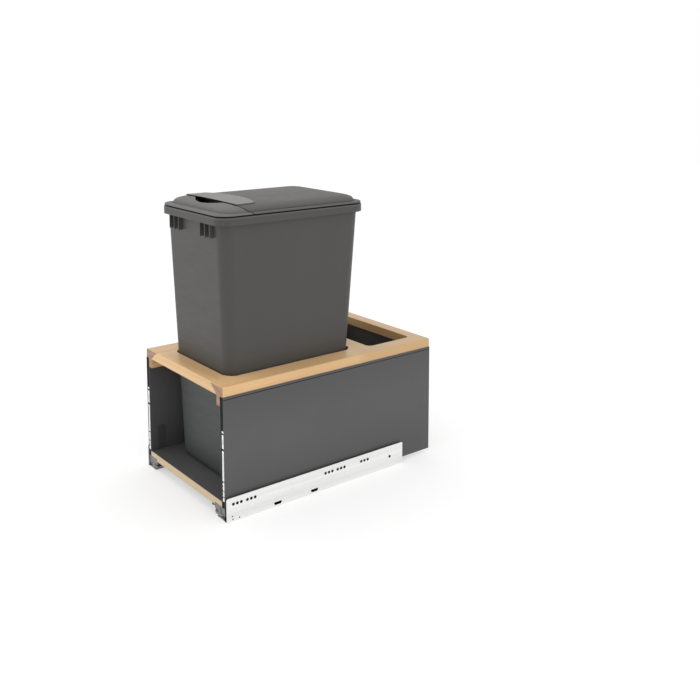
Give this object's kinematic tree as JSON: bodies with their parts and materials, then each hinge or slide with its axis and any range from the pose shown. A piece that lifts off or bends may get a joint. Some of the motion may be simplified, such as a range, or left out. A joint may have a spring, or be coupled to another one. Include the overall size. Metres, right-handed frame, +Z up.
{
  "type": "pull out trash cabinet",
  "caption": "Pull out drawer for a kitchen base cabinet that carries a tall lidded waste bin, with steel sides, a wooden top frame and under-mount runners.",
  "frame": {"origin": "middle of the footprint, on the plane of the runner undersides", "axes": "+X to the right seen from the front, +Y from the front to the rear, +Z up; the drawer pulls out along -Y"},
  "size_m": [0.343, 0.54, 0.6141],
  "materials": {
    "side_steel": "fine satin powder coat, dark gray",
    "bracket_steel": "satin coat, dark gray",
    "runner_zinc": "bright zinc plated sheet",
    "channel_zinc": "bright zinc plated sheet",
    "fixing_zinc": "bright zinc plated casting",
    "black_plastic": "matt",
    "end_cap_plastic": "matt",
    "cap_plastic": "matt",
    "gray_plastic": "satin moulded",
    "soft_close_plastic": "satin moulded",
    "catch_plastic": "satin moulded",
    "lever_plastic": "satin moulded",
    "cage_plastic": "satin moulded",
    "roller_plastic": "satin moulded",
    "stop_rubber": "matt",
    "wood_lengthwise": "clear satin lacquer, grain along the rail",
    "wood_crosswise": "clear satin lacquer, grain along the rail",
    "dowel_wood": "bare beech",
    "panel_board": "dark laminate on plywood, bare plywood edges",
    "back_board": "dark laminate",
    "bin_plastic": "satin moulded",
    "lid_plastic": "satin moulded",
    "screw_steel": "bright zinc plated",
    "pin_steel": "bright"
  },
  "bodies": {
    "cabinet_side_fixed": {"cabinet_bracket_left": "runner_zinc", "cabinet_bracket_right": "runner_zinc", "guide_channel_left": "channel_zinc", "guide_channel_right": "channel_zinc", "end_stop_left": "stop_rubber", "end_stop_right": "stop_rubber", "soft_close_housing_left": "soft_close_plastic", "soft_close_housing_right": "soft_close_plastic", "soft_close_catch_left": "catch_plastic", "soft_close_catch_right": "catch_plastic"},
    "drawer": {"side_outer_skin_left": "side_steel", "side_outer_skin_right": "side_steel", "side_inner_skin_left": "side_steel", "side_inner_skin_right": "side_steel", "front_block_left": "black_plastic", "front_block_right": "black_plastic", "front_fixing_left": "fixing_zinc", "front_fixing_right": "fixing_zinc", "cover_cap_left": "cap_plastic", "cover_cap_right": "cap_plastic", "side_end_cap_left": "end_cap_plastic", "side_end_cap_right": "end_cap_plastic", "bottom_panel": "panel_board", "back_panel": "back_board", "back_bracket_left": "bracket_steel", "back_bracket_right": "bracket_steel", "drawer_member_left": "channel_zinc", "drawer_member_right": "channel_zinc", "closing_hook_left": "channel_zinc", "closing_hook_right": "channel_zinc", "front_catch_housing_left": "gray_plastic", "front_catch_housing_right": "gray_plastic", "lever_pins": "pin_steel", "panel_clips": "black_plastic", "top_side_rail_left": "wood_lengthwise", "top_side_rail_right": "wood_lengthwise", "top_front_rail": "wood_crosswise", "top_cross_rail": "wood_crosswise", "top_rear_rail": "wood_crosswise", "frame_dowels": "dowel_wood", "frame_screws": "screw_steel", "panel_screws": "screw_steel", "back_screws": "screw_steel"},
    "bin": {"bin": "bin_plastic"},
    "lid": {"lid_frame": "lid_plastic", "lid_hinge_pins": "pin_steel"},
    "flap": {"lid_flap": "lid_plastic"},
    "centre_left": {"centre_member_left": "channel_zinc"},
    "lower_cage_left": {"lower_roller_cage_left": "cage_plastic", "lower_rollers_left": "roller_plastic"},
    "upper_cage_left": {"upper_roller_cage_left": "cage_plastic", "upper_rollers_left": "roller_plastic"},
    "lever_left": {"release_lever_left": "lever_plastic"},
    "centre_right": {"centre_member_right": "channel_zinc"},
    "lower_cage_right": {"lower_roller_cage_right": "cage_plastic", "lower_rollers_right": "roller_plastic"},
    "upper_cage_right": {"upper_roller_cage_right": "cage_plastic", "upper_rollers_right": "roller_plastic"},
    "lever_right": {"release_lever_right": "lever_plastic"}
  },
  "joints": [
    {"name": "drawer_slide", "type": "slide", "parent": "cabinet_side_fixed", "child": "drawer", "axis": [0, -1, 0], "range_m": [0, 0.5]},
    {"name": "centre_slide_left", "type": "slide", "parent": "cabinet_side_fixed", "child": "centre_left", "axis": [0, -1, 0], "range_m": [0, 0.25]},
    {"name": "lower_cage_slide_left", "type": "slide", "parent": "cabinet_side_fixed", "child": "lower_cage_left", "axis": [0, -1, 0], "range_m": [0, 0.125]},
    {"name": "upper_cage_slide_left", "type": "slide", "parent": "cabinet_side_fixed", "child": "upper_cage_left", "axis": [0, -1, 0], "range_m": [0, 0.375]},
    {"name": "centre_slide_right", "type": "slide", "parent": "cabinet_side_fixed", "child": "centre_right", "axis": [0, -1, 0], "range_m": [0, 0.25]},
    {"name": "lower_cage_slide_right", "type": "slide", "parent": "cabinet_side_fixed", "child": "lower_cage_right", "axis": [0, -1, 0], "range_m": [0, 0.125]},
    {"name": "upper_cage_slide_right", "type": "slide", "parent": "cabinet_side_fixed", "child": "upper_cage_right", "axis": [0, -1, 0], "range_m": [0, 0.375]},
    {"name": "bin_lift", "type": "slide", "parent": "drawer", "child": "bin", "axis": [0, 0, 1], "range_m": [0, 0.3]},
    {"name": "lid_lift", "type": "slide", "parent": "bin", "child": "lid", "axis": [0, 0, 1], "range_m": [0, 0.06]},
    {"name": "flap_hinge", "type": "hinge", "parent": "lid", "child": "flap", "pos_m": [0, 0.0976, 0.5991], "axis": [-1, 0, 0], "range_deg": [0, 105]},
    {"name": "lever_hinge_left", "type": "hinge", "parent": "drawer", "child": "lever_left", "pos_m": [-0.1332, -0.253, 0.0127], "axis": [0, 0, 1], "range_deg": [0, 12], "stiffness_Nm_per_rad": 0.02},
    {"name": "lever_hinge_right", "type": "hinge", "parent": "drawer", "child": "lever_right", "pos_m": [0.1332, -0.253, 0.0127], "axis": [0, 0, -1], "range_deg": [0, 12], "stiffness_Nm_per_rad": 0.02}
  ],
  "couplings": [
    {"joint": "centre_slide_left", "follows": "drawer_slide", "ratio": 0.5},
    {"joint": "lower_cage_slide_left", "follows": "drawer_slide", "ratio": 0.25},
    {"joint": "upper_cage_slide_left", "follows": "drawer_slide", "ratio": 0.75},
    {"joint": "centre_slide_right", "follows": "drawer_slide", "ratio": 0.5},
    {"joint": "lower_cage_slide_right", "follows": "drawer_slide", "ratio": 0.25},
    {"joint": "upper_cage_slide_right", "follows": "drawer_slide", "ratio": 0.75}
  ]
}
